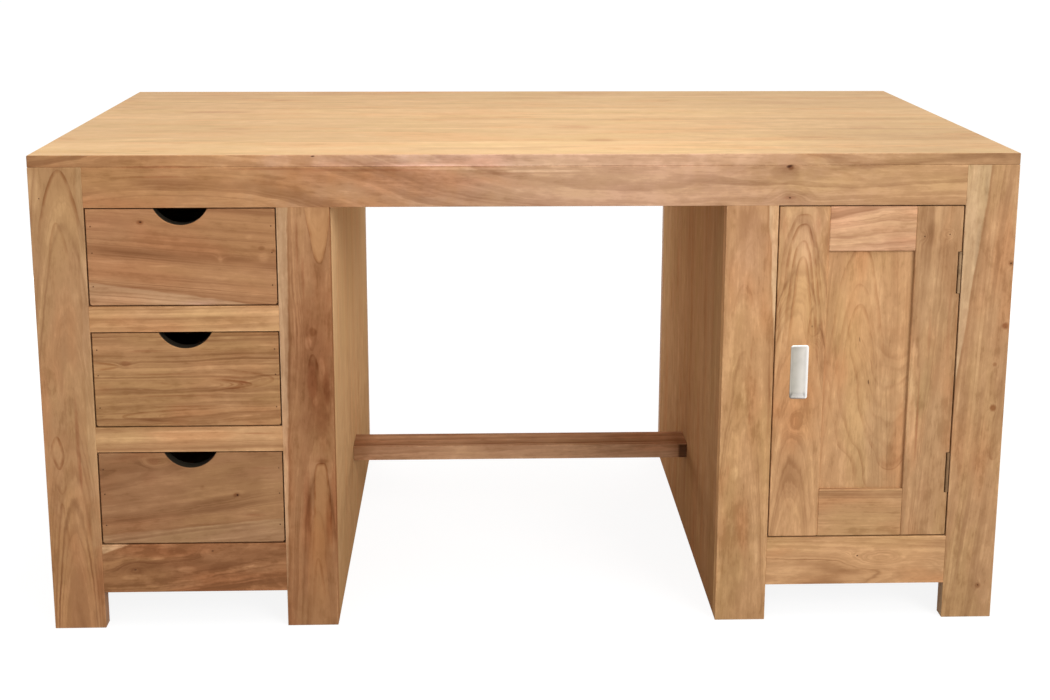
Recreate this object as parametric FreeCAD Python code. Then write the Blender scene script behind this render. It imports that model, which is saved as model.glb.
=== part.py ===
import FreeCAD, Part

import math
import os

V = FreeCAD.Vector

# Twin pedestal desk, in millimetres. The origin is on the floor under the middle of the top.
# +X runs to the right of a person in front of the desk, +Y to its back and +Z up.

# Top
desk_width = 1500.0
desk_depth = 800.0
desk_height = 760.0
top_thickness = 18.0
top_edge_ease = 1.0
top_back_overhang = 20.0

# Pedestals: flat legs and rails make a front frame and a back frame, with side panels between them
frame_thickness = 24.0
leg_width = 80.0
opening_width = 288.0
side_panel_thickness = 20.0
back_panel_thickness = 8.0

# Rails that show on the front
apron_height = 62.0
bottom_rail_height = 80.0
bottom_rail_floor_gap = 60.0
divider_height = 40.0

# Foot rail, a flat board between the pedestals
foot_rail_width = 66.0
foot_rail_thickness = 26.0
foot_rail_floor_gap = 144.0

# Joints in the wood
tenon_length = 25.0
tenon_thickness = 10.0
tenon_shoulder = 8.0
stub_tenon_length = 10.0
tongue_thickness = 8.0
tongue_depth = 8.0
dado_depth = 6.0
edge_ease = 0.5

# Drawers and door stand in their openings with these clearances
reveal = 2.0
inset_setback = 1.0
slide_clearance = 0.3

# Drawers, counted upwards
drawer_names = ("bottom_drawer", "middle_drawer", "top_drawer")
drawer_rear_room = 135.0
drawer_front_thickness = 22.0
drawer_front_corner = 4.0
drawer_front_ease = 1.0
drawer_front_lap = 12.0
drawer_side_thickness = 14.0
drawer_side_drop = 12.0
drawer_back_thickness = 14.0
drawer_bottom_thickness = 6.0
drawer_bottom_lift = 12.0
drawer_groove_depth = 6.0
notch_radius = 45.0
notch_depth = 25.0
runner_reach = 30.0
runner_thickness = 22.0
kicker_width = 30.0
stop_length = 20.0
stop_height = 20.0

# Cupboard
cupboard_floor_thickness = 18.0
shelf_thickness = 18.0
shelf_height_share = 0.435
shelf_clearance = 0.5
shelf_door_gap = 5.0
cleat_side = 20.0

# Door: two stiles, two rails and a flat panel in grooves
door_thickness = 22.0
lock_stile_width = 78.0
hinge_stile_width = 72.0
door_top_rail_height = 70.0
door_bottom_rail_height = 78.0
door_panel_thickness = 8.0
door_panel_recess = 6.0
door_panel_play = 1.0
door_groove_depth = 10.0
door_tenon_length = 30.0
door_ease = 1.0

# Flush pull on the lock stile
pull_width = 28.0
pull_length = 87.0
pull_corner = 4.0
pull_rim_width = 2.5
pull_rim_thickness = 0.8
pull_depth = 9.0
pull_draft = 2.5
pull_wall = 1.0
pull_rise = 5.0
pull_pocket_play = 0.3

# Butt hinges on the right edge of the door
hinge_length = 66.0
hinge_knuckles = 3
hinge_end_distance = 105.0
hinge_leaf_width = 18.0
hinge_leaf_thickness = 1.2
hinge_knuckle_radius = 2.75
hinge_knuckle_gap = 0.45
hinge_knuckle_play = 0.3
hinge_pin_radius = 1.5
hinge_pin_clearance = 0.05
hinge_pocket_play = 0.5
hinge_notch_width = 5.5
hinge_screw_pitch = 44.0
screw_head_radius = 2.6
screw_shank_radius = 1.4
screw_length = 14.0

# Magnetic catch under the shelf, at the lock side
catch_length = 46.0
catch_height = 13.0
catch_depth = 16.0
catch_core_length = 30.0
catch_flange_thickness = 4.0
strike_thickness = 1.5
strike_length = 40.0
strike_drop = 1.0

LEFT = -1
RIGHT = 1

# Places that several pieces share
under_top = desk_height - top_thickness
front_y = -desk_depth / 2
pedestal_back_y = desk_depth / 2 - top_back_overhang
pedestal_width = 2 * leg_width + opening_width
apron_bottom = under_top - apron_height
rail_top = bottom_rail_floor_gap + bottom_rail_height
front_frame_y = (front_y, front_y + frame_thickness)
back_frame_y = (pedestal_back_y - frame_thickness, pedestal_back_y)
side_panel_y = (front_frame_y[1], back_frame_y[0])
divider_count = len(drawer_names) - 1
drawer_opening = (apron_bottom - rail_top - divider_count * divider_height) / len(drawer_names)
inset_y = front_y + inset_setback
drawer_rear_y = side_panel_y[1] - drawer_rear_room
door_y = (inset_y, inset_y + door_thickness)


def x_from_outside(side, distance):
    """X place at a distance inwards from the left or right end of the desk."""
    return side * (desk_width / 2 - distance)


def x_span(side, start, end):
    """X places of two distances from one end of the desk, the lower one first."""
    return tuple(sorted((x_from_outside(side, start), x_from_outside(side, end))))


def opening_x(side):
    """Clear width between the legs of one pedestal."""
    return x_span(side, leg_width, leg_width + opening_width)


def middle(span, size):
    """Span of the given size in the middle of another span."""
    centre = (span[0] + span[1]) / 2
    return (centre - size / 2, centre + size / 2)


def inset(span, amount):
    """Span that is shorter by the same amount at both ends."""
    return (span[0] + amount, span[1] - amount)


def block(xs, ys, zs):
    """Square-edged timber between two places on each axis."""
    corner = V(xs[0], ys[0], zs[0])
    return Part.makeBox(xs[1] - xs[0], ys[1] - ys[0], zs[1] - zs[0], corner)


def board(xs, ys, zs, ease=edge_ease):
    """Timber with all its edges lightly eased, as sanding leaves them."""
    timber = block(xs, ys, zs)
    return timber.makeChamfer(ease, timber.Edges)


def joined(shape, *others):
    """One solid out of pieces that meet."""
    return shape.fuse(list(others)).removeSplitter().Solids[0]


def export(name, *solids):
    """Writes one piece, or one group of like pieces, under its name."""
    shape = solids[0] if len(solids) == 1 else Part.makeCompound(list(solids))
    shape.exportStep("parts/" + name + ".step")
    print(name, len(shape.Solids), round(shape.Volume / 1000.0, 1), shape.isValid())


# Rails between the legs. Each has a tenon at both ends, and the same bar cuts the mortises.
apron_x = (x_from_outside(LEFT, leg_width), x_from_outside(RIGHT, leg_width))
apron_z = (apron_bottom, under_top)
bottom_rail_z = (bottom_rail_floor_gap, rail_top)
drawer_pitch = drawer_opening + divider_height
lower_divider_z = (rail_top + drawer_opening, rail_top + drawer_pitch)
upper_divider_z = (lower_divider_z[0] + drawer_pitch, lower_divider_z[1] + drawer_pitch)
aprons = {
    "front_apron": (apron_x, front_frame_y, apron_z),
    "back_apron": (apron_x, back_frame_y, apron_z),
}
pedestal_rails = {
    "left_bottom_rail": (opening_x(LEFT), front_frame_y, bottom_rail_z),
    "right_bottom_rail": (opening_x(RIGHT), front_frame_y, bottom_rail_z),
    "lower_drawer_divider": (opening_x(LEFT), front_frame_y, lower_divider_z),
    "upper_drawer_divider": (opening_x(LEFT), front_frame_y, upper_divider_z),
}


def tenon_bar(xs, ys, zs):
    """Both tenons of a rail, as one bar along the rail."""
    return block(inset(xs, -tenon_length), middle(ys, tenon_thickness), inset(zs, tenon_shoulder))


def tenoned_rail(xs, ys, zs):
    return joined(board(xs, ys, zs), tenon_bar(xs, ys, zs))


# Outer legs reach the top. Inner legs stand under the aprons, with a tenon into each apron.
leg_distance = {"outer": (0.0, leg_width), "inner": (leg_width + opening_width, pedestal_width)}


def leg_x(side, place):
    return x_span(side, *leg_distance[place])


def inner_leg_tenon(side, ys):
    xs = inset(leg_x(side, "inner"), tenon_shoulder)
    return block(xs, middle(ys, tenon_thickness), (apron_bottom, apron_bottom + tenon_length))


# Side panels stand between a front leg and a back leg, flush with the outside of the legs
panel_distance = {
    "outer": (0.0, side_panel_thickness),
    "inner": (pedestal_width - side_panel_thickness, pedestal_width),
}


def panel_x(side, place):
    return x_span(side, *panel_distance[place])


def tongue_bar(side, place):
    """Both upright tongues of a side panel, as one bar through the panel."""
    ys = inset(side_panel_y, -tongue_depth)
    return block(middle(panel_x(side, place), tongue_thickness), ys, (0.0, apron_bottom))


back_panel_y = middle(back_frame_y, back_panel_thickness)


def back_panel(side):
    return block(inset(opening_x(side), -tongue_depth), back_panel_y, (bottom_rail_floor_gap, apron_bottom))


# Cupboard floor: its sides sit in dadoes, and it reaches the back panel between the legs
cupboard_x = (panel_x(RIGHT, "inner")[1], panel_x(RIGHT, "outer")[0])
shelf_base = rail_top + shelf_height_share * (under_top - rail_top)


def cupboard_floor():
    zs = (rail_top - cupboard_floor_thickness, rail_top)
    between_legs = block(opening_x(RIGHT), (side_panel_y[0], back_panel_y[0]), zs)
    between_panels = block(inset(cupboard_x, -dado_depth), side_panel_y, zs)
    return joined(between_legs, between_panels)


# Foot rail with stub tenons, half way back between the inner side panels
foot_rail_x = (x_from_outside(LEFT, pedestal_width), x_from_outside(RIGHT, pedestal_width))
foot_rail_y = middle((front_y, pedestal_back_y), foot_rail_width)
foot_rail_z = (foot_rail_floor_gap, foot_rail_floor_gap + foot_rail_thickness)


def foot_rail_tenons():
    ys = inset(foot_rail_y, tenon_shoulder)
    return block(inset(foot_rail_x, -stub_tenon_length), ys, inset(foot_rail_z, tenon_shoulder))


# Hinges. The pin stands just inside the front face, close to the leg.
door_x = inset(opening_x(RIGHT), reveal)
door_z = inset((rail_top, apron_bottom), reveal)
leg_face_x = opening_x(RIGHT)[1]
hinge_x = leg_face_x - hinge_knuckle_gap - hinge_knuckle_radius
hinge_y = front_y + hinge_knuckle_radius
hinge_heights = {
    "lower": door_z[0] + hinge_end_distance,
    "upper": door_z[1] - hinge_end_distance,
}
leaf_start_y = hinge_y + hinge_knuckle_radius
leaf_end_y = hinge_y + hinge_leaf_width
leaf_screw_y = (leaf_start_y + leaf_end_y) / 2


def hinge_z(height):
    return (height - hinge_length / 2, height + hinge_length / 2)


def knuckle(height, number):
    """One knuckle of a hinge before it is bored, counted upwards from 0, and its height span."""
    pitch = hinge_length / hinge_knuckles
    base = V(hinge_x, hinge_y, hinge_z(height)[0] + number * pitch + hinge_knuckle_play / 2)
    length = pitch - hinge_knuckle_play
    barrel = Part.makeCylinder(hinge_knuckle_radius, length, base)
    return barrel, (base.z, base.z + length)


def pin_bore(height):
    zs = inset(hinge_z(height), -hinge_knuckle_play)
    radius = hinge_pin_radius + hinge_pin_clearance
    return Part.makeCylinder(radius, zs[1] - zs[0], V(hinge_x, hinge_y, zs[0]))


def hinge_pin(height):
    zs = hinge_z(height)
    return Part.makeCylinder(hinge_pin_radius, zs[1] - zs[0], V(hinge_x, hinge_y, zs[0]))


def frame_leaf_blank(height):
    """Leaf on the leg, with its outer two knuckles still solid."""
    plate_x = (leg_face_x, leg_face_x + hinge_leaf_thickness)
    web_y = (leaf_start_y - hinge_leaf_thickness, leaf_start_y)
    leaf = block(plate_x, (web_y[0], leaf_end_y), hinge_z(height))
    for number in (0, 2):
        barrel, zs = knuckle(height, number)
        leaf = joined(leaf, barrel, block((hinge_x, plate_x[1]), web_y, zs))
    return leaf


def door_leaf_plate(height):
    plate_x = (door_x[1] - hinge_leaf_thickness, door_x[1])
    return block(plate_x, (leaf_start_y + hinge_knuckle_play, leaf_end_y), hinge_z(height))


def door_leaf_blank(height):
    """Leaf on the door, with its middle knuckle still solid."""
    barrel, zs = knuckle(height, 1)
    plate_x = (door_x[1] - hinge_leaf_thickness, door_x[1])
    web_y = (leaf_start_y - hinge_leaf_thickness, leaf_start_y + hinge_knuckle_play)
    return joined(door_leaf_plate(height), barrel, block(plate_x, web_y, zs))


def hinge_notch(height):
    """Room for the knuckles in the edge of the door."""
    xs = (door_x[1] - hinge_notch_width, door_x[1])
    ys = (door_y[0], leaf_start_y + hinge_pocket_play)
    return block(xs, ys, inset(hinge_z(height), -hinge_pocket_play))


def wood_screw(head_x, height, direction):
    """Screw along X, with its countersunk head at head_x and as deep as the leaf."""
    profile = [
        (0.0, 0.0),
        (0.0, screw_head_radius),
        (hinge_leaf_thickness, screw_shank_radius),
        (screw_length, screw_shank_radius),
        (screw_length, 0.0),
    ]
    points = [V(head_x + direction * x, leaf_screw_y + r, height) for x, r in profile]
    half = Part.Face(Part.makePolygon(points + points[:1]))
    return half.revolve(V(head_x, leaf_screw_y, height), V(1, 0, 0), 360).Solids[0]


def leaf_screws(head_x, height, direction):
    offsets = (-hinge_screw_pitch / 2, hinge_screw_pitch / 2)
    return [wood_screw(head_x, height + offset, direction) for offset in offsets]


frame_screws = [
    screw for height in hinge_heights.values() for screw in leaf_screws(leg_face_x, height, 1)
]
door_screws = [
    screw for height in hinge_heights.values() for screw in leaf_screws(door_x[1], height, -1)
]


def make_top():
    xs = middle((0.0, 0.0), desk_width)
    ys = middle((0.0, 0.0), desk_depth)
    export("desk_top", board(xs, ys, (under_top, desk_height), top_edge_ease))


def make_rails():
    for name, span in aprons.items():
        leg_tenons = [inner_leg_tenon(side, span[1]) for side in (LEFT, RIGHT)]
        export(name, tenoned_rail(*span).cut(leg_tenons).Solids[0])
    for name, span in pedestal_rails.items():
        export(name, tenoned_rail(*span))
    export("foot_rail", joined(board(foot_rail_x, foot_rail_y, foot_rail_z), foot_rail_tenons()))


def make_pedestals():
    """Legs, side panels and back panel of both pedestals, with every mortise, groove and recess."""
    rail_mortises = [tenon_bar(*span) for span in pedestal_rails.values()]
    apron_mortises = [tenon_bar(*span) for span in aprons.values()]
    leaf_recesses = [frame_leaf_blank(height) for height in hinge_heights.values()]
    for side, side_name in ((LEFT, "left"), (RIGHT, "right")):
        rear = back_panel(side)
        export(side_name + "_back_panel", rear)
        for place in ("outer", "inner"):
            tongues = tongue_bar(side, place)
            panel = joined(board(panel_x(side, place), side_panel_y, (0.0, under_top)), tongues)
            name = side_name + "_" + place
            export(name + "_side_panel", panel.cut([foot_rail_tenons(), cupboard_floor()]).Solids[0])
            cutters = rail_mortises + [tongues, rear]
            for end, ys in (("front", front_frame_y), ("back", back_frame_y)):
                leg_name = name + "_" + end + "_leg"
                if place == "outer":
                    leg = board(leg_x(side, place), ys, (0.0, under_top)).cut(apron_mortises + cutters)
                else:
                    leg = board(leg_x(side, place), ys, (0.0, apron_bottom))
                    leg = joined(leg, inner_leg_tenon(side, ys)).cut(cutters)
                if leg_name == "right_outer_front_leg":
                    leg = leg.cut(leaf_recesses + frame_screws)
                export(leg_name, leg.Solids[0])


def make_cupboard():
    export("cupboard_floor", cupboard_floor())
    shelf_y = (door_y[1] + shelf_door_gap, side_panel_y[1])
    shelf_z = (shelf_base, shelf_base + shelf_thickness)
    export("cupboard_shelf", board(inset(cupboard_x, shelf_clearance), shelf_y, shelf_z))
    cleat_z = (shelf_base - cleat_side, shelf_base)
    cleat_spans = (
        (cupboard_x[0], cupboard_x[0] + cleat_side),
        (cupboard_x[1] - cleat_side, cupboard_x[1]),
    )
    export("shelf_cleats", *[board(xs, shelf_y, cleat_z) for xs in cleat_spans])


def drawer_front(xs, zs):
    """Front with rounded lower corners and a finger notch in its top edge, before it is rebated."""
    ys = (inset_y, inset_y + drawer_front_thickness)
    centre = (xs[0] + xs[1]) / 2
    half_chord = math.sqrt(notch_radius**2 - (notch_radius - notch_depth) ** 2)
    corner = drawer_front_corner
    bend = corner * (1 - math.sqrt(0.5))

    def at(x, z):
        return V(x, ys[0], z)

    notch = Part.Arc(
        at(centre + half_chord, zs[1]), at(centre, zs[1] - notch_depth), at(centre - half_chord, zs[1])
    )
    right_corner = Part.Arc(
        at(xs[1] - corner, zs[0]), at(xs[1] - bend, zs[0] + bend), at(xs[1], zs[0] + corner)
    )
    left_corner = Part.Arc(
        at(xs[0], zs[0] + corner), at(xs[0] + bend, zs[0] + bend), at(xs[0] + corner, zs[0])
    )
    outline = [
        Part.LineSegment(at(xs[0] + corner, zs[0]), at(xs[1] - corner, zs[0])),
        right_corner,
        Part.LineSegment(at(xs[1], zs[0] + corner), at(xs[1], zs[1])),
        Part.LineSegment(at(xs[1], zs[1]), at(centre + half_chord, zs[1])),
        notch,
        Part.LineSegment(at(centre - half_chord, zs[1]), at(xs[0], zs[1])),
        Part.LineSegment(at(xs[0], zs[1]), at(xs[0], zs[0] + corner)),
        left_corner,
    ]
    face = Part.Face(Part.Wire([curve.toShape() for curve in outline]))
    front = face.extrude(V(0, drawer_front_thickness, 0))
    front_edges = [edge for edge in front.Edges if edge.BoundBox.YMax < ys[0] + drawer_front_ease]
    return front.makeChamfer(drawer_front_ease, front_edges)


def make_drawer(name, opening_z):
    xs = inset(opening_x(LEFT), reveal)
    front_z = inset(opening_z, reveal)
    back_face_y = inset_y + drawer_front_thickness
    lap_y = (back_face_y - drawer_front_lap, back_face_y)
    side_z = (opening_z[0] + slide_clearance, front_z[1] - drawer_side_drop)
    bottom_z = (side_z[0] + drawer_bottom_lift, side_z[0] + drawer_bottom_lift + drawer_bottom_thickness)
    inside_x = inset(xs, drawer_side_thickness)
    side_x = {"left": (xs[0], inside_x[0]), "right": (inside_x[1], xs[1])}

    bottom_y = (back_face_y - drawer_groove_depth, drawer_rear_y)
    bottom = block(inset(inside_x, -drawer_groove_depth), bottom_y, bottom_z)
    rebates = [block(span, lap_y, opening_z) for span in side_x.values()]
    export(name + "_front", drawer_front(xs, front_z).cut(rebates + [bottom]).Solids[0])
    for hand, span in side_x.items():
        side = board(span, (lap_y[0], drawer_rear_y), side_z)
        export(name + "_" + hand + "_side", side.cut(bottom).Solids[0])
    back_y = (drawer_rear_y - drawer_back_thickness, drawer_rear_y)
    export(name + "_back", board(inside_x, back_y, (bottom_z[1], side_z[1])))
    export(name + "_bottom", bottom)


def make_drawers():
    """Three drawers with the runners, kickers and stops that carry them."""
    clear_x = opening_x(LEFT)
    runner_spans = (
        (panel_x(LEFT, "outer")[1], clear_x[0] + runner_reach),
        (clear_x[1] - runner_reach, panel_x(LEFT, "inner")[0]),
    )
    edge_spans = (
        (clear_x[0], clear_x[0] + kicker_width),
        (clear_x[1] - kicker_width, clear_x[1]),
    )
    stop_start = drawer_rear_y + slide_clearance
    stops = []
    for number, name in enumerate(drawer_names):
        base = rail_top + number * drawer_pitch
        make_drawer(name, (base, base + drawer_opening))
        runner_z = (base - runner_thickness, base)
        export(name + "_runners", *[board(xs, side_panel_y, runner_z) for xs in runner_spans])
        stop_y = (stop_start, stop_start + stop_length)
        stops += [board(xs, stop_y, (base, base + stop_height)) for xs in edge_spans]
    export("drawer_kickers", *[board(xs, side_panel_y, apron_z) for xs in edge_spans])
    export("drawer_stops", *stops)


def rounded_plate(width, height, corner, y, centre):
    """Rounded rectangle in an upright plane, as a closed wire."""
    side_x = width / 2
    side_z = height / 2
    straight_x = side_x - corner
    straight_z = side_z - corner
    bend = corner * math.sqrt(0.5)
    quarters = ((1, 1), (-1, 1), (-1, -1), (1, -1))
    edges = []
    ends = []
    for number, (sx, sz) in enumerate(quarters):
        along_x = V(sx * straight_x, 0, sz * side_z)
        along_z = V(sx * side_x, 0, sz * straight_z)
        between = V(sx * (straight_x + bend), 0, sz * (straight_z + bend))
        first, last = (along_z, along_x) if number % 2 == 0 else (along_x, along_z)
        ends.append((first, last))
        edges.append(Part.Arc(first, between, last).toShape())
    for number, (_, last) in enumerate(ends):
        edges.append(Part.LineSegment(last, ends[(number + 1) % 4][0]).toShape())
    wire = Part.Wire(Part.__sortEdges__(edges))
    wire.translate(V(centre[0], y, centre[1]))
    return wire


def plate_block(width, height, corner, ys, centre):
    face = Part.Face(rounded_plate(width, height, corner, ys[0], centre))
    return face.extrude(V(0, ys[1] - ys[0], 0))


def dish(width, height, corner, ys, centre):
    """Hollow of the pull, which narrows from the rim's face to the floor."""
    taper = 2 * pull_draft
    mouth = rounded_plate(width, height, corner, ys[0], centre)
    floor = rounded_plate(width - taper, height - taper, corner, ys[1], centre)
    return Part.makeLoft([mouth, floor], True, True)


pull_centre = (door_x[0] + lock_stile_width / 2, (door_z[0] + door_z[1]) / 2 + pull_rise)
pull_body_width = pull_width - 2 * pull_rim_width
pull_body_length = pull_length - 2 * pull_rim_width
pull_body_corner = pull_corner - pull_rim_width / 2


def pull_pocket():
    grow = 2 * pull_pocket_play
    return plate_block(
        pull_body_width + grow,
        pull_body_length + grow,
        pull_body_corner,
        (door_y[0], door_y[0] + pull_depth + pull_pocket_play),
        pull_centre,
    )


def make_pull():
    """Cast metal dish with a flat rim that lies on the door's face."""
    rim_y = (door_y[0] - pull_rim_thickness, door_y[0])
    floor_y = door_y[0] + pull_depth
    rim = plate_block(pull_width, pull_length, pull_corner, rim_y, pull_centre)
    body = plate_block(
        pull_body_width, pull_body_length, pull_body_corner, (door_y[0], floor_y), pull_centre
    )
    hollow = dish(
        pull_body_width - 2 * pull_wall,
        pull_body_length - 2 * pull_wall,
        pull_body_corner,
        (rim_y[0], floor_y - pull_wall),
        pull_centre,
    )
    export("door_pull", joined(rim, body).cut(hollow).Solids[0])


def make_door():
    lock_x = (door_x[0], door_x[0] + lock_stile_width)
    hinge_stile_x = (door_x[1] - hinge_stile_width, door_x[1])
    light_x = (lock_x[1], hinge_stile_x[0])
    light_z = (door_z[0] + door_bottom_rail_height, door_z[1] - door_top_rail_height)
    panel_y = (door_y[0] + door_panel_recess, door_y[0] + door_panel_recess + door_panel_thickness)
    groove = block(inset(light_x, -door_groove_depth), panel_y, inset(light_z, -door_groove_depth))
    tenon_x = inset(light_x, -door_tenon_length)
    rail_spans = {"bottom": (door_z[0], light_z[0]), "top": (light_z[1], door_z[1])}
    tenon_spans = {
        "bottom": (door_z[0] + tenon_shoulder, light_z[0] - door_groove_depth),
        "top": (light_z[1] + door_groove_depth, door_z[1] - tenon_shoulder),
    }
    tenons = {name: block(tenon_x, panel_y, zs) for name, zs in tenon_spans.items()}
    mortises = list(tenons.values()) + [groove]
    for name, zs in rail_spans.items():
        rail = joined(board(light_x, door_y, zs, door_ease), tenons[name]).cut(groove)
        export("door_" + name + "_rail", rail.Solids[0])

    lock_stile = board(lock_x, door_y, door_z, door_ease).cut(mortises + [pull_pocket()])
    export("door_lock_stile", lock_stile.Solids[0])

    hinge_cuts = [hinge_notch(height) for height in hinge_heights.values()]
    hinge_cuts += [door_leaf_plate(height) for height in hinge_heights.values()]
    hinge_stile = board(hinge_stile_x, door_y, door_z, door_ease).cut(mortises + hinge_cuts + door_screws)
    export("door_hinge_stile", hinge_stile.Solids[0])

    panel_reach = door_groove_depth - door_panel_play
    export("door_panel", block(inset(light_x, -panel_reach), panel_y, inset(light_z, -panel_reach)))


def make_hinges():
    for name, height in hinge_heights.items():
        bore = pin_bore(height)
        export(name + "_hinge_frame_leaf", frame_leaf_blank(height).cut([bore] + frame_screws).Solids[0])
        export(name + "_hinge_door_leaf", door_leaf_blank(height).cut([bore] + door_screws).Solids[0])
    export("hinge_pins", *[hinge_pin(height) for height in hinge_heights.values()])
    export("hinge_frame_screws", *frame_screws)
    export("hinge_door_screws", *door_screws)


def make_catch():
    """Magnetic catch under the shelf, and the plate on the door that it holds."""
    lock_x = (door_x[0], door_x[0] + lock_stile_width)
    catch_z = (shelf_base - catch_height, shelf_base)
    flange_z = (shelf_base - catch_flange_thickness, shelf_base)
    strike_y = (door_y[1], door_y[1] + strike_thickness)
    catch_y = (strike_y[1] + slide_clearance, strike_y[1] + slide_clearance + catch_depth)
    housing = joined(
        block(middle(lock_x, catch_core_length), catch_y, catch_z),
        block(middle(lock_x, catch_length), catch_y, flange_z),
    )
    export("magnet_catch", housing)
    strike_z = (catch_z[0], shelf_base - strike_drop)
    export("strike_plate", block(middle(lock_x, strike_length), strike_y, strike_z))


os.makedirs("parts", exist_ok=True)
make_top()
make_rails()
make_pedestals()
make_cupboard()
make_drawers()
make_door()
make_pull()
make_hinges()
make_catch()
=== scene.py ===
import math

import bpy
from mathutils import Euler, Matrix, Vector


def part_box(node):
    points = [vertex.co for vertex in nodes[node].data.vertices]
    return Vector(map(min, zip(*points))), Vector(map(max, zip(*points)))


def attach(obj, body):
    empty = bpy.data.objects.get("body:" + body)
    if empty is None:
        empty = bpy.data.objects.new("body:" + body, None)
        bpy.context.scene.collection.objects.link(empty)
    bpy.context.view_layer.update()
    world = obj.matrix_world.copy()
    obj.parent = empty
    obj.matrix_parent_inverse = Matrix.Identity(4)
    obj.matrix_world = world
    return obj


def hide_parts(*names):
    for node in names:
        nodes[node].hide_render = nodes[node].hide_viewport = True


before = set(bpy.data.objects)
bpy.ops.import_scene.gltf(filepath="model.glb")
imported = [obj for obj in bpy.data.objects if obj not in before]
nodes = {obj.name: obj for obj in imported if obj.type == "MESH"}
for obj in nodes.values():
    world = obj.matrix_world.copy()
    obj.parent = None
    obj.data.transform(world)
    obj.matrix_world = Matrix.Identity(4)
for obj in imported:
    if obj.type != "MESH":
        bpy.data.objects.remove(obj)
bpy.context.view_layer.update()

# Camera of the photograph, in metres, degrees and pixels of a 1050 by 700 picture
PICTURE_WIDTH = 1050.0
PICTURE_HEIGHT = 700.0
CAMERA_PLACE = (-0.0837, -2.685, 1.1276)
CAMERA_PITCH = 11.579
CAMERA_YAW = 1.956
CAMERA_ROLL = 0.156
FOCAL_PIXELS = 1536.6
HORIZON_CENTRE = 220.0
SENSOR_WIDTH = 36.0

# Directions of the grain
ALONG = {"x": Vector((1, 0, 0)), "y": Vector((0, 1, 0)), "z": Vector((0, 0, 1))}

# Tables of knots, arches and patches are in millimetres; FAR reaches over the whole board
MM = 0.001
FAR = 9000

# Sizes, in metres; THROUGH is a reach that goes through any board
THROUGH = 10.0
TOP_HEIGHT = 0.76
TOP_PLANK = 0.1335
SIDE_PLANK = 0.155
BACK_PLANK = 0.1
SHELF_PLANK = 0.12
NOTCH_RADIUS = 0.045
NOTCH_DEPTH = 0.025
NAIL_REACH = 0.0022
PULL_CORNER = 0.004
PULL_RIM = 0.0012
PULL_EDGE = 0.0007

# Rings of the pull's dish from the rim inwards: drop, and share of the width and of the height that is left
DISH_RINGS = (
    (0.0003, 0.95, 0.98), (0.0006, 0.93, 0.97), (0.0008, 0.90, 0.955), (0.0008, 0.84, 0.93),
    (0.0005, 0.70, 0.89),
)

# Shine of the oiled wood
BOARD_GLOSS = 0.1
PANEL_GLOSS = 0.0

# Light: the room as a share of the white that the background shows, and the floor's own white
ROOM_LIGHT = 0.8
FLOOR_SIZE = 80.0
FLOOR_DROP = 0.0006
FLOOR_GLOW = 1.35
FLOOR_GLOW_SHARE = 0.66

# Noise of the wood: repeats per metre along the grain, across it and through it
SLOW_WANDER = (1.6, 8.0, 8.0)
QUICK_WANDER = (9.0, 45.0, 45.0)
RAGGED_LINES = (55.0, 170.0, 170.0)
LINE_FADE = (7.0, 30.0, 30.0)
FIBRES = (13.0, 250.0, 250.0)
FLECKS = (55.0, 420.0, 420.0)
PORES = (60.0, 1500.0, 1500.0)
CLOUDS = (4.0, 15.0, 15.0)
BLOTCHES = (17.0, 50.0, 50.0)
MOTTLING = (42.0, 78.0, 78.0)
SAP_FRAY = (17.0, 90.0, 90.0)

# Steps of the seed from board to board and from arch to arch
BOARD_STEP = 13.7
ARCH_STEP = 7.3
NATURAL_BASE = 2.718


def tint(red, green, blue):
    """Colour from 8 bit display values, as the shaders take it."""
    channels = []
    for value in (red, green, blue):
        share = value / 255.0
        channels.append(share / 12.92 if share <= 0.04045 else ((share + 0.055) / 1.055) ** 2.4)
    return (*channels, 1.0)


# Tones of the wood
TONES = {
    "honey": tint(180, 138, 98),
    "golden": tint(191, 146, 103),
    "rosy": tint(204, 158, 122),
    "russet": tint(166, 120, 83),
    "umber": tint(146, 101, 67),
    "olive": tint(208, 168, 122),
    "straw": tint(214, 173, 123),
    "drab": tint(170, 126, 86),
    "birch": tint(206, 172, 130),
}
KNOT_HEART = tint(84, 52, 33)
# painted shade for the cut edge of the finger notches
NOTCH_SHADE = tint(50, 45, 37)
WHITE = (1.0, 1.0, 1.0, 1.0)
FLOOR_GREY = (0.5, 0.5, 0.5, 1.0)

# Tones of the fittings
NICKEL = tint(222, 216, 207)
# painted highlight for the rim of the pull
PAINTED_RIM_HIGHLIGHT = tint(244, 242, 238)
PLATED_STEEL = tint(160, 130, 98)
BROWNED_STEEL = tint(138, 108, 78)
DARK_PLASTIC = tint(70, 45, 30)
LIGHT_PLASTIC = tint(86, 58, 40)

# Changes of colour, as factors on red, green and blue: those of patches, by name, and those of other marks
CHANGES = {
    "paler": (1.28, 1.36, 1.44),
    "pinker": (1.13, 1.16, 1.48),
    "redder": (0.84, 0.73, 0.7),
    "warmer": (1.0, 0.88, 0.8),
    "darker": (0.72, 0.64, 0.58),
    "dusky": (0.84, 0.84, 0.84),
    "greener": (0.89, 0.95, 0.97),
    "veined": (0.6, 0.44, 0.35),
}
CLEARER = (1.26, 1.3, 1.22)
EARLY_WOOD = (1.2, 1.24, 1.28)
LATE_WOOD = (0.77, 0.73, 0.68)
DARK_LINE = (0.55, 0.46, 0.4)
RUDDY = (1.06, 0.95, 0.9)
GREENISH = (0.98, 1.01, 0.95)
SAPWOOD = (1.16, 1.36, 1.56)
WORN = (1.22, 1.25, 1.28)
DARK_PLANK = (0.8, 0.76, 0.72)
LIGHT_PLANK = (1.14, 1.16, 1.18)
GLUE_LINE = (0.6, 0.52, 0.46)
# painted shade for the foot rail's corner against the side panel
RAIL_CORNER_SHADE = (0.3, 0.26, 0.24)
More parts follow.
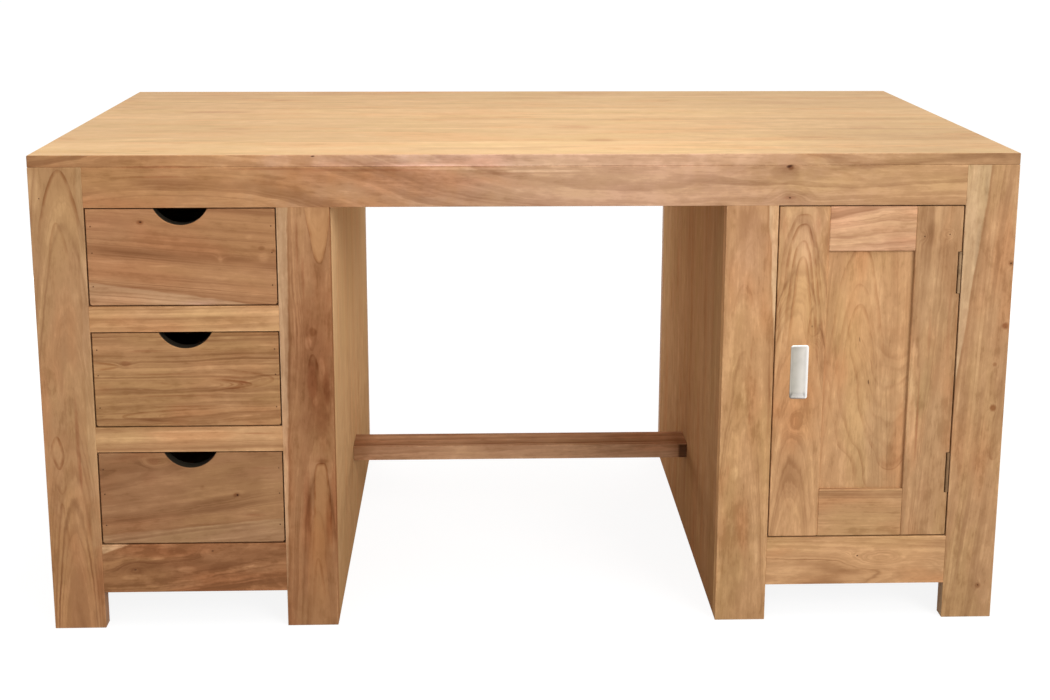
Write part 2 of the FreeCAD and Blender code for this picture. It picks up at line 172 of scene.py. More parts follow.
# painted reflection and painted shade for the pull's dish
PAINTED_DARK_REFLECTION = (0.6, 0.59, 0.56)
PAINTED_DISH_SHADE = (0.5, 0.5, 0.52)


class Wiring:
    """Node tree of one finish, with short calls that add nodes and join them."""

    def __init__(self, tree):
        self.tree = tree

    def feed(self, socket, value):
        if isinstance(value, bpy.types.NodeSocket):
            self.tree.links.new(value, socket)
        else:
            socket.default_value = value

    def node(self, kind, inputs=None, **settings):
        made = self.tree.nodes.new(kind)
        for name, value in settings.items():
            setattr(made, name, value)
        for name, value in (inputs or {}).items():
            self.feed(made.inputs[name], value)
        return made

    def fill(self, made, values):
        """Feeds a node's inputs in their order; gives its outputs."""
        for socket, value in zip(made.inputs, values):
            self.feed(socket, value)
        return made.outputs

    def group(self, tree, inputs):
        """Use of a node group; gives its outputs."""
        return self.node("ShaderNodeGroup", inputs, node_tree=tree).outputs

    def math(self, operation, *values):
        return self.fill(self.node("ShaderNodeMath", operation=operation), values)[0]

    def plus(self, first, second):
        return self.math("ADD", first, second)

    def minus(self, first, second):
        return self.math("SUBTRACT", first, second)

    def times(self, first, second):
        return self.math("MULTIPLY", first, second)

    def over(self, first, second):
        return self.math("DIVIDE", first, second)

    def most(self, first, second):
        return self.math("MAXIMUM", first, second)

    def rest(self, share):
        """What a share leaves of the whole."""
        return self.minus(1.0, share)

    def vector(self, operation, *values):
        outputs = self.fill(self.node("ShaderNodeVectorMath", operation=operation), values)
        return outputs["Value" if operation in ("LENGTH", "DOT_PRODUCT") else "Vector"]

    def split(self, vector):
        return tuple(self.node("ShaderNodeSeparateXYZ", {"Vector": vector}).outputs)

    def merge(self, x, y, z):
        return self.node("ShaderNodeCombineXYZ", {"X": x, "Y": y, "Z": z}).outputs[0]

    def mix(self, share, first, second, blend="MIX"):
        made = self.node("ShaderNodeMix", data_type="RGBA", blend_type=blend)
        self.feed(made.inputs[0], share)
        self.feed(made.inputs[6], first)
        self.feed(made.inputs[7], second)
        return made.outputs[2]

    def change(self, colour, factors):
        return self.mix(1.0, colour, (*factors, 1.0), "MULTIPLY")

    def dye(self, share, colour, factors):
        """Colour that is changed by a share."""
        return self.mix(share, colour, self.change(colour, factors))

    def step(self, value, low, high):
        """Smooth rise from 0 at low to 1 at high."""
        limits = {"Value": value, "From Min": low, "From Max": high}
        return self.node("ShaderNodeMapRange", limits, interpolation_type="SMOOTHSTEP").outputs[0]

    def noise(self, vector, stretch, detail=2.0, roughness=0.5):
        """Noise with its own scale along each axis; gives the value and the colour."""
        place = self.vector("MULTIPLY", vector, stretch)
        inputs = {"Vector": place, "Scale": 1.0, "Detail": detail, "Roughness": roughness}
        made = self.node("ShaderNodeTexNoise", inputs)
        return made.outputs["Fac"], made.outputs["Color"]

    def shake(self, vector, stretch, detail, size):
        """Noise as a push to either side of each axis, of a size for each."""
        _, colour = self.noise(vector, stretch, detail, 0.6)
        return self.vector("MULTIPLY", self.vector("SUBTRACT", colour, (0.5, 0.5, 0.5)), size)

    def noise_along(self, value, detail=2.0, roughness=0.5):
        """Noise of one number."""
        inputs = {"W": value, "Scale": 1.0, "Detail": detail, "Roughness": roughness}
        return self.node("ShaderNodeTexNoise", inputs, noise_dimensions="1D").outputs["Fac"]


def new_group(name, inputs, outputs):
    """Node group with sockets named under their kind; gives it with its wiring, inputs and results."""
    group = bpy.data.node_groups.new(name, "ShaderNodeTree")
    for direction, sockets in (("INPUT", inputs), ("OUTPUT", outputs)):
        for kind, names in sockets.items():
            for socket_name in names:
                group.interface.new_socket(socket_name, in_out=direction, socket_type="NodeSocket" + kind)
    wiring = Wiring(group)
    given = wiring.node("NodeGroupInput").outputs
    results = wiring.node("NodeGroupOutput").inputs
    return group, wiring, given, results


def growth_ring_group():
    """Solid wood: rings round a pith line, so faces, edges and ends of a board agree."""
    group, w, given, results = new_group(
        "growth rings",
        {
            "Vector": ["Grain"],
            "Float": [
                "Seed", "Ring width", "Wave", "Contrast", "Mottle", "Strength", "Swell", "Heart", "Sap",
                "Sap share",
            ],
            "Color": ["Body"],
        },
        {"Color": ["Color"], "Float": ["Roughness", "Height"]},
    )
    seed = w.times(given["Seed"], BOARD_STEP)
    grain = w.vector("ADD", given["Grain"], w.merge(seed, 0.0, 0.0))
    strength = given["Strength"]

    # the pith line wanders, slowly over the length and a little from year to year
    slow = w.shake(grain, SLOW_WANDER, 1.0, (1.0, 1.0, 1.0))
    quick = w.shake(grain, QUICK_WANDER, 2.0, (0.17, 0.17, 0.17))
    ragged = w.shake(grain, RAGGED_LINES, 2.0, (0.0, 0.0016, 0.0016))
    wave = w.merge(0.0, given["Wave"], given["Wave"])
    wander = w.vector("ADD", w.vector("MULTIPLY", w.vector("ADD", slow, quick), wave), ragged)
    _, across, depth = w.split(w.vector("ADD", given["Grain"], wander))
    radius = w.plus(w.vector("LENGTH", w.merge(0.0, across, depth)), given["Swell"])

    # rings: soft bands, and thin lines of uneven weight that fade in and out
    years = w.plus(w.over(radius, given["Ring width"]), seed)
    bands = w.noise_along(w.times(years, 0.55), 2.0, 0.6)
    fade = w.step(w.noise(grain, LINE_FADE)[0], 0.3, 0.68)
    line = ring_line(w, years, 0.8, 0.35, 0.84)
    hair = ring_line(w, w.plus(years, 51.0), 2.3, 0.8, 0.7)
    lines = w.plus(w.times(line, 0.72), w.times(hair, 0.4))
    lines = w.times(lines, w.plus(0.25, w.times(fade, 0.75)))
    lines = w.times(lines, given["Contrast"])
    sap, sap_edge = sapwood(w, grain, given["Sap"], given["Sap share"])
    lines = w.times(lines, w.rest(w.times(sap, 0.6)))

    # fibres, pores and slow changes of tone along the board
    fibre, _ = w.noise(grain, FIBRES, 4.0, 0.68)
    fleck, _ = w.noise(grain, FLECKS, 2.0, 0.6)
    pore = w.step(w.noise(grain, PORES, 1.0)[0], 0.62, 0.74)
    cloud, tinge = w.noise(grain, CLOUDS, 2.0, 0.55)
    blotch, _ = w.noise(grain, BLOTCHES, 3.0, 0.6)
    mottle, _ = w.noise(grain, MOTTLING, 3.0, 0.62)
    tone = 0.0
    for figure, amount in (
        (bands, w.times(given["Contrast"], 1.1)),
        (cloud, 1.1),
        (blotch, 1.1),
        (mottle, given["Mottle"]),
        (fibre, 0.9),
        (fleck, 0.45),
    ):
        tone = w.plus(tone, w.times(w.minus(figure, 0.5), amount))
    tone = w.plus(w.times(tone, strength), 0.5)

    body = given["Body"]
    late = w.change(body, LATE_WOOD)
    dark = w.change(body, DARK_LINE)
    colour = w.mix(w.step(tone, 0.05, 0.5), w.change(body, EARLY_WOOD), body)
    colour = w.mix(w.step(tone, 0.5, 0.95), colour, late)
    red, green, _ = w.split(tinge)
    ruddy = w.change(colour, RUDDY)
    greenish = w.change(colour, GREENISH)
    colour = w.mix(w.times(w.step(red, 0.47, 0.66), strength), colour, ruddy)
    colour = w.mix(w.times(w.step(green, 0.47, 0.66), strength), colour, greenish)
    colour = w.mix(lines, colour, dark)
    colour = w.mix(w.times(sap_edge, 0.4), colour, dark)
    colour = w.dye(sap, colour, SAPWOOD)
    colour = w.mix(given["Heart"], colour, KNOT_HEART)
    colour = w.mix(w.times(pore, 0.25), colour, late)

    w.feed(results["Color"], colour)
    rough = w.plus(0.5, w.times(tone, 0.08))
    w.feed(results["Roughness"], w.plus(rough, w.times(pore, 0.12)))
    height = w.minus(w.times(fibre, 0.5), w.times(pore, 0.7))
    w.feed(results["Height"], w.minus(height, w.times(lines, 0.5)))
    return group


def sapwood(w, grain, depth, share):
    """Sapwood beyond a frayed border; gives its share and the darker line along the border."""
    fray, _ = w.noise(grain, SAP_FRAY, 3.0, 0.6)
    border = w.plus(depth, w.times(w.minus(fray, 0.5), 0.008))
    inside = w.step(border, 0.0, 0.003)
    line = w.times(w.step(border, -0.004, 0.0), w.rest(inside))
    return w.times(inside, share), w.times(line, share)


def ring_line(w, years, pitch, weight_pitch, sharpness):
    """Thin lines where a wandering number crosses its middle, each with its own weight."""
    course = w.noise_along(w.times(years, pitch), 1.0)
    ridge = w.rest(w.times(w.math("ABSOLUTE", w.minus(course, 0.5)), 3.2))
    weight = w.step(w.noise_along(w.times(years, weight_pitch), 0.0), 0.32, 0.66)
    return w.times(w.step(ridge, sharpness - 0.3, 1.0), weight)


def knot_group():
    """Knot: rings swell round it, and its heart is dark."""
    group, w, given, results = new_group(
        "knot",
        {"Vector": ["Place", "Centre", "Reach"], "Float": ["Swell", "Heart"]},
        {"Float": ["Swell", "Heart"]},
    )
    shake = w.shake(given["Place"], (45.0, 45.0, 45.0), 2.0, (0.006, 0.006, 0.006))
    offset = w.vector("SUBTRACT", w.vector("ADD", given["Place"], shake), given["Centre"])
    distance = w.vector("LENGTH", w.vector("DIVIDE", offset, given["Reach"]))
    fall = w.math("POWER", NATURAL_BASE, w.times(w.times(distance, distance), -1.6))
    w.feed(results["Swell"], w.times(fall, given["Swell"]))
    w.feed(results["Heart"], w.rest(w.step(distance, w.times(given["Heart"], 0.4), given["Heart"])))
    return group


def patch_group():
    """Share of a patch of colour with a wavering outline."""
    group, w, given, results = new_group(
        "patch", {"Vector": ["Place", "Centre", "Reach"], "Float": ["Soft"]}, {"Float": ["Share"]}
    )
    shake = w.shake(given["Place"], (30.0, 30.0, 30.0), 3.0, (0.8, 0.8, 0.8))
    offset = w.vector("DIVIDE", w.vector("SUBTRACT", given["Place"], given["Centre"]), given["Reach"])
    distance = w.vector("LENGTH", w.vector("ADD", offset, shake))
    w.feed(results["Share"], w.rest(w.step(distance, w.rest(given["Soft"]), 1.0)))
    return group


def arch_group():
    """Pointed figure of a flat-sawn board: nested lines that meet at an apex and fade down their sides."""
    group, w, given, results = new_group(
        "arch figure",
        {"Vector": ["Place", "Apex", "Reach"], "Float": ["Bluntness", "Nested", "Seed"]},
        {"Float": ["Line", "Inside"]},
    )
    bluntness = given["Bluntness"]
    shake = w.shake(given["Place"], (14.0, 14.0, 11.0), 2.0, (0.36, 0.0, 0.14))
    offset = w.vector("DIVIDE", w.vector("SUBTRACT", given["Place"], given["Apex"]), given["Reach"])
    across, _, fallen = w.split(w.vector("ADD", offset, shake))
    across = w.plus(w.math("ABSOLUTE", across), 0.001)
    depth = w.minus(fallen, w.math("POWER", across, bluntness))

    # distance from the outline in metres, so that its line is as thick down the sides as at the apex
    half, _, length = w.split(given["Reach"])
    slope = w.math("POWER", across, w.minus(bluntness, 1.0))
    lean = w.over(w.times(slope, bluntness), half)
    steepness = w.vector("LENGTH", w.merge(lean, 0.0, w.over(1.0, length)))
    distance = w.over(w.math("ABSOLUTE", depth), steepness)
    inside = w.step(depth, -0.01, 0.03)
    thickness = w.plus(0.0018, w.times(inside, 0.0055))
    outline = w.rest(w.step(w.over(distance, thickness), 0.0, 1.0))

    nested = ring_line(w, w.plus(w.times(depth, 11.0), given["Seed"]), 1.0, 0.7, 0.6)
    nested = w.times(nested, given["Nested"])
    broken, _ = w.noise(given["Place"], (70.0, 70.0, 30.0))
    broken = w.plus(0.35, w.times(w.step(broken, 0.35, 0.6), 0.65))
    near = w.rest(w.step(fallen, 0.3, 1.0))
    line = w.most(outline, w.times(nested, inside))
    w.feed(results["Line"], w.times(w.times(line, near), broken))
    w.feed(results["Inside"], w.times(inside, near))
    return group


def plank_group():
    """Boards glued side by side: each plank has its own pith and tone, with a fine joint between."""
    group, w, given, results = new_group(
        "glued planks",
        {"Vector": ["Board"], "Float": ["Plank width", "Seed"]},
        {"Vector": ["Grain"], "Float": ["Tone", "Joint"]},
    )
    along, across, depth = w.split(given["Board"])
    width = given["Plank width"]
    place = w.over(across, width)
    number = w.math("FLOOR", place)
    chance = w.node(
        "ShaderNodeTexWhiteNoise", {"W": w.plus(w.times(number, 1.37), given["Seed"])}, noise_dimensions="1D"
    ).outputs["Color"]
    shift, side, deep = w.split(chance)
    within = w.times(w.minus(w.minus(place, number), 0.5), width)
    side = w.times(w.minus(side, 0.5), 0.16)
    pith_depth = w.plus(0.05, w.times(deep, 0.09))
    lean = w.times(along, w.times(w.minus(shift, 0.5), 0.05))
    grain = w.merge(
        w.plus(along, w.times(shift, 9.0)), w.plus(within, side), w.plus(w.plus(depth, pith_depth), lean)
    )
    w.feed(results["Grain"], grain)
    w.feed(results["Tone"], w.minus(shift, 0.5))
    past_edge = w.minus(w.math("ABSOLUTE", within), w.times(width, 0.5))
    w.feed(results["Joint"], w.step(past_edge, -0.0011, -0.0003))
    return group


def worn_edge_group():
    """Nearness to the edges of a box, broken up, for handled corners."""
    group, w, given, results = new_group(
        "worn edges", {"Vector": ["Place", "Centre", "Half"]}, {"Float": ["Wear"]}
    )
    offset = w.vector("ABSOLUTE", w.vector("SUBTRACT", given["Place"], given["Centre"]))
    a, b, c = w.split(w.vector("SUBTRACT", given["Half"], offset))
    edge = w.most(w.math("MINIMUM", a, b), w.math("MINIMUM", w.most(a, b), c))
    broken, _ = w.noise(given["Place"], (90.0, 90.0, 90.0), 4.0, 0.7)
    reach = w.plus(0.0004, w.times(w.step(broken, 0.4, 0.72), 0.0042))
    w.feed(results["Wear"], w.rest(w.step(w.over(edge, reach), 0.2, 1.0)))
    return group


growth_rings = growth_ring_group()
knot_ring = knot_group()
colour_patch = patch_group()
arch_figure = arch_group()
glued_planks = plank_group()
worn_edges = worn_edge_group()


def empty_wiring(owner):
    """Wiring of a material or a world, with nothing in it yet."""
    owner.use_nodes = True
    owner.node_tree.nodes.clear()
    return Wiring(owner.node_tree)


def new_finish(name):
    """New material; gives it with its wiring, its surface shader and the place on it."""
    finish = bpy.data.materials.new(name)
    w = empty_wiring(finish)
    shader = w.node("ShaderNodeBsdfPrincipled")
    w.node("ShaderNodeOutputMaterial", {"Surface": shader.outputs[0]})
    place = w.node("ShaderNodeTexCoord").outputs["Object"]
    return finish, w, shader, place


def put_on(node, finish):
    for slot in nodes[node].material_slots:
        slot.material = finish


def roughen(w, shader, height, strength, distance):
    """Fine relief of a surface."""
    bump = w.node("ShaderNodeBump", {"Height": height, "Strength": strength, "Distance": distance})
    w.feed(shader.inputs["Normal"], bump.outputs[0])


def box_middle(node):
    """Middle and half size of a node's box."""
    low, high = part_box(node)
    return (low + high) / 2, (high - low) / 2


def grain_place(w, place, node, along, pith, lean):
    """Coordinates round the pith line: pith is its offset from the board's middle, lean its slopes."""
    middle, _ = box_middle(node)
    direction = ALONG[along] + Vector(lean)
    turn = ALONG["x"].rotation_difference(direction).to_euler()
    frame_of_pith = {"Vector": place, "Location": middle + Vector(pith), "Rotation": turn}
    return w.node("ShaderNodeMapping", frame_of_pith, vector_type="TEXTURE").outputs[0]


def ring_wood(w, place, node, tone, along, pith, lean=(0, 0, 0), rings=0.007, wave=0.02, contrast=1.0,
              mottle=0.8, strength=1.0, knots=(), sap=None, sap_share=0.8, seed=1.0):
    """Growth rings of one board; gives the group's outputs.

    A knot has its x and z on the front, its reach, the swell of the rings and the share that is heart.
    Sapwood lies beyond a line on the front, given by the x and z of a point on it and of the way outward.
    """
    swell = 0.0
    heart = 0.0
    for x, z, width, height, amount, heart_size in knots:
        knot = w.group(knot_ring, {
            "Place": place, "Centre": (x * MM, 0.0, z * MM), "Reach": (width * MM, THROUGH, height * MM),
            "Swell": amount * MM, "Heart": heart_size,
        })
        swell = w.plus(knot["Swell"], swell)
        if heart_size:
            heart = w.most(knot["Heart"], heart)
    inputs = {
        "Grain": grain_place(w, place, node, along, pith, lean), "Seed": seed, "Ring width": rings,
        "Wave": wave, "Contrast": contrast, "Mottle": mottle, "Strength": strength, "Swell": swell,
        "Heart": heart, "Body": TONES[tone],
    }
    if sap:
        x, z, outward_x, outward_z = sap
        offset = w.vector("SUBTRACT", place, (x * MM, 0.0, z * MM))
        outward = Vector((outward_x, 0.0, outward_z)).normalized()
        inputs["Sap"] = w.vector("DOT_PRODUCT", offset, outward)
        inputs["Sap share"] = sap_share
    return w.group(growth_rings, inputs)


def take_patches(figure):
    """Takes the tables of patches, which have the names of their changes, out of a board's settings."""
    return {name: figure.pop(name) for name in CHANGES if name in figure}


def drift(w, place, colour, patches, across=1, level=0.0):
    """Patches of changed colour on a face that lies across one axis, at a level.

    Each change has rows with the centre of a patch on that face, its reach, its amount and its softness.
    """
    for name, rows in patches.items():
        for first, second, width, height, *more in rows:
            centre = [first * MM, second * MM]
            centre.insert(across, level)
            reach = [width * MM, height * MM]
            reach.insert(across, THROUGH)
            amount, soft = (more + [1.0, 1.0])[:2]
            patch = w.group(colour_patch, {"Place": place, "Centre": centre, "Reach": reach, "Soft": soft})
            colour = w.dye(w.times(patch["Share"], amount), colour, CHANGES[name])
    return colour


def draw_arch(w, place, colour, body, seed, apex, half, length, line, pale=0.0, nested=0.0, bluntness=2.0):
    """Arch of darker lines, with amounts of line, of pale wood inside and of lines within."""
    figure = w.group(arch_figure, {
        "Place": place, "Apex": apex, "Reach": (half * MM, THROUGH, -length * MM), "Bluntness": bluntness,
        "Nested": nested, "Seed": seed,
    })
    clear = w.change(w.mix(0.75, colour, body), CLEARER)
    colour = w.mix(w.times(figure["Inside"], pale), colour, clear)
    return w.dye(w.times(figure["Line"], line), colour, CHANGES["veined"])


def draw_arches(w, place, colour, body, arches, lying):
    """Arches on the front, from an apex at x and z down, or to the left where they lie on their side.

    Where its length is negative an arch runs the other way.
    """
    if lying:
        x, y, z = w.split(place)
        place = w.merge(z, y, x)
    for number, (x, z, *shape) in enumerate(arches):
        apex = (z * MM, 0.0, x * MM) if lying else (x * MM, 0.0, z * MM)
        colour = draw_arch(w, place, colour, body, ARCH_STEP * number, apex, *shape)
    return colour


def finish_wood(w, shader, place, node, colour, roughness, height, gloss):
    """Oiled surface: worn edges, gloss and the feel of the grain."""
    middle, half = box_middle(node)
    worn = w.group(worn_edges, {"Place": place, "Centre": middle, "Half": half})["Wear"]
    w.feed(shader.inputs["Base Color"], w.dye(w.times(worn, 0.5), colour, WORN))
    w.feed(shader.inputs["Roughness"], w.plus(roughness, w.times(worn, 0.08)))
    shader.inputs["Specular IOR Level"].default_value = gloss
    roughen(w, shader, height, 0.25, 0.0006)


seeds = iter(range(1, 1000))


def board(node, tone, along, pith, lean=(0, 0, 0), shade=1.0, arches=(), lying=False, gloss=BOARD_GLOSS,
          painted_shade=None, **figure):
    """Gives one sawn board its own wood."""
    finish, w, shader, place = new_finish("wood " + node.replace("_", " "))
    patches = take_patches(figure)
    figure.setdefault("seed", float(next(seeds)))
    wood = ring_wood(w, place, node, tone, along, pith, lean, **figure)
    colour = draw_arches(w, place, wood["Color"], TONES[tone], arches, lying)
    colour = drift(w, place, colour, patches)
    if shade != 1.0:
        colour = w.change(colour, (shade, shade, shade))
    # painted shade in corners and hollows, where a board has it
    if painted_shade:
        colour = painted_shade(w, place, node, colour)
    finish_wood(w, shader, place, node, colour, wood["Roughness"], wood["Height"], gloss)
    put_on(node, finish)


def planks(node, tone, along, across, plank_width, **figure):
    """Gives a panel that is glued up from planks its own wood, with patches seen from the side."""
    finish, w, shader, place = new_finish("planks " + node.replace("_", " "))
    patches = take_patches(figure)
    colour, roughness, height = plank_wood(w, place, node, tone, along, across, plank_width, **figure)
    colour = drift(w, place, colour, patches, 0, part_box(node)[0].x)
    finish_wood(w, shader, place, node, colour, roughness, height, PANEL_GLOSS)
    put_on(node, finish)


def plank_wood(w, place, node, tone, along, across, plank_width, rings=0.01, wave=0.02, contrast=0.7,
               mottle=0.6, strength=1.0, variety=0.3):
    """Wood of glued planks; gives its colour, roughness and height."""
    low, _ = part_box(node)
    parts = dict(zip("xyz", w.split(w.vector("SUBTRACT", place, low))))
    through = ({"x", "y", "z"} - {along, across}).pop()
    seed = float(next(seeds))
    layout = w.group(glued_planks, {
        "Board": w.merge(parts[along], parts[across], parts[through]), "Plank width": plank_width,
        "Seed": seed,
    })
    wood = w.group(growth_rings, {
        "Grain": layout["Grain"], "Seed": seed, "Ring width": rings, "Wave": wave, "Contrast": contrast,
        "Mottle": mottle, "Strength": strength, "Body": TONES[tone],
    })
    colour = wood["Color"]
    share = w.times(layout["Tone"], variety * 2)
    darker = w.change(colour, DARK_PLANK)
    lighter = w.change(colour, LIGHT_PLANK)
    colour = w.mix(w.most(share, 0.0), colour, darker)
    colour = w.mix(w.most(w.times(share, -1.0), 0.0), colour, lighter)
    colour = w.dye(w.times(layout["Joint"], 0.5), colour, GLUE_LINE)
    height = w.minus(wood["Height"], w.times(layout["Joint"], 0.6))
    return colour, wood["Roughness"], height


# the apron and the front edge of the top are sawn from one board
APRON_WOOD = dict(
    tone="honey", along="x", pith=(0.1, 0.14, 0.12), lean=(0, 0.03, -0.02), rings=0.008, wave=0.05,
    contrast=0.72, seed=31.0,
    knots=[(-550, 710, 500, FAR, 90, 0), (396, 741, 50, 20, 14, 0.14), (398, 692, 30, 20, 10, 0.1),
           (-325, 758, 20, 8, 6, 0.2)],
)
APRON_PATCHES = dict(
    pinker=[(80, 710, 550, FAR)],
    warmer=[(-620, 710, 700, FAR)],
    redder=[(396, 741, 26, 16, 0.4), (397, 692, 14, 4, 0.9, 0.7), (-560, 727, 80, 2.5, 0.8, 0.7),
            (-380, 739, 120, 2.5, 0.8, 0.7), (-550, 742, 100, 3, 1, 0.6), (-250, 736.5, 140, 3, 0.8, 0.7),
            (-50, 731, 100, 3, 0.6)],
    veined=[(398, 738.5, 7, 6, 0.9, 0.7)],
    paler=[(-100, 738.5, 100, 2.5, 0.9, 0.5), (20, 734.5, 80, 2.5, 0.9, 0.5)],
)
LIP_PATCHES = dict(
    paler=[(-50, 750, 750, FAR, 0.7), (-120, 743, 260, 4), (500, 750, 70, FAR, 0.5)],
    dusky=[(-750, 750, 200, FAR, 0.9), (750, 750, 300, FAR)],
    pinker=[(-200, 750, 300, FAR, 0.8)],
    darker=[(710, 750, 90, FAR, 0.5)],
)
APRON_ARCHES = [(398, 716, 45, 34, 0.25, 0, 0.5), (397, 745, 200, 62, 0.2, 0, 0.5, 1.6)]
TOP_PATCHES = dict(
    dusky=[(660, 0, 500, 1200, 0.8), (620, -400, 450, 400, 0.5), (0, 500, 1600, 600, 0.7),
           (-700, 400, 500, 700, 0.4)],
    warmer=[(-500, 400, 700, 500, 0.4)],
    paler=[(50, -300, 600, 500, 0.3)],
    redder=[(-550, 90, 140, 24), (-480, -130, 60, 30, 0.5), (-370, 370, 90, 50, 0.6), (85, -110, 60, 40, 0.9),
            (120, -260, 40, 24, 0.8), (150, 370, 100, 50, 0.5), (500, 210, 110, 50, 0.6),
            (360, -50, 140, 26, 0.5), (580, -120, 90, 30, 0.6)],
)


def dress_top():
    """Planks along the top; its front edge is of the apron's board."""
    finish, w, shader, place = new_finish("wood desk top")
    colour, roughness, height = plank_wood(
        w, place, "desk_top", "straw", "x", "y", TOP_PLANK, rings=0.012, wave=0.03, contrast=0.35,
        strength=0.6,
    )
    edge = ring_wood(w, place, "front_apron", **APRON_WOOD)["Color"]
    _, depth, _ = w.split(place)
    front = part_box("desk_top")[0].y
    lip = w.rest(w.step(depth, front + 0.0012, front + 0.002))
    colour = drift(w, place, colour, TOP_PATCHES, 2, TOP_HEIGHT)
    edge = drift(w, place, drift(w, place, edge, APRON_PATCHES), LIP_PATCHES)
    colour = w.mix(lip, colour, edge)
    finish_wood(w, shader, place, "desk_top", colour, roughness, height, BOARD_GLOSS)
    put_on("desk_top", finish)


def dress_aprons():
    board("front_apron", arches=APRON_ARCHES, **APRON_PATCHES, **APRON_WOOD)
    board("back_apron", "honey", "x", (0.2, -0.1, 0.04), (0, 0.02, 0.02))


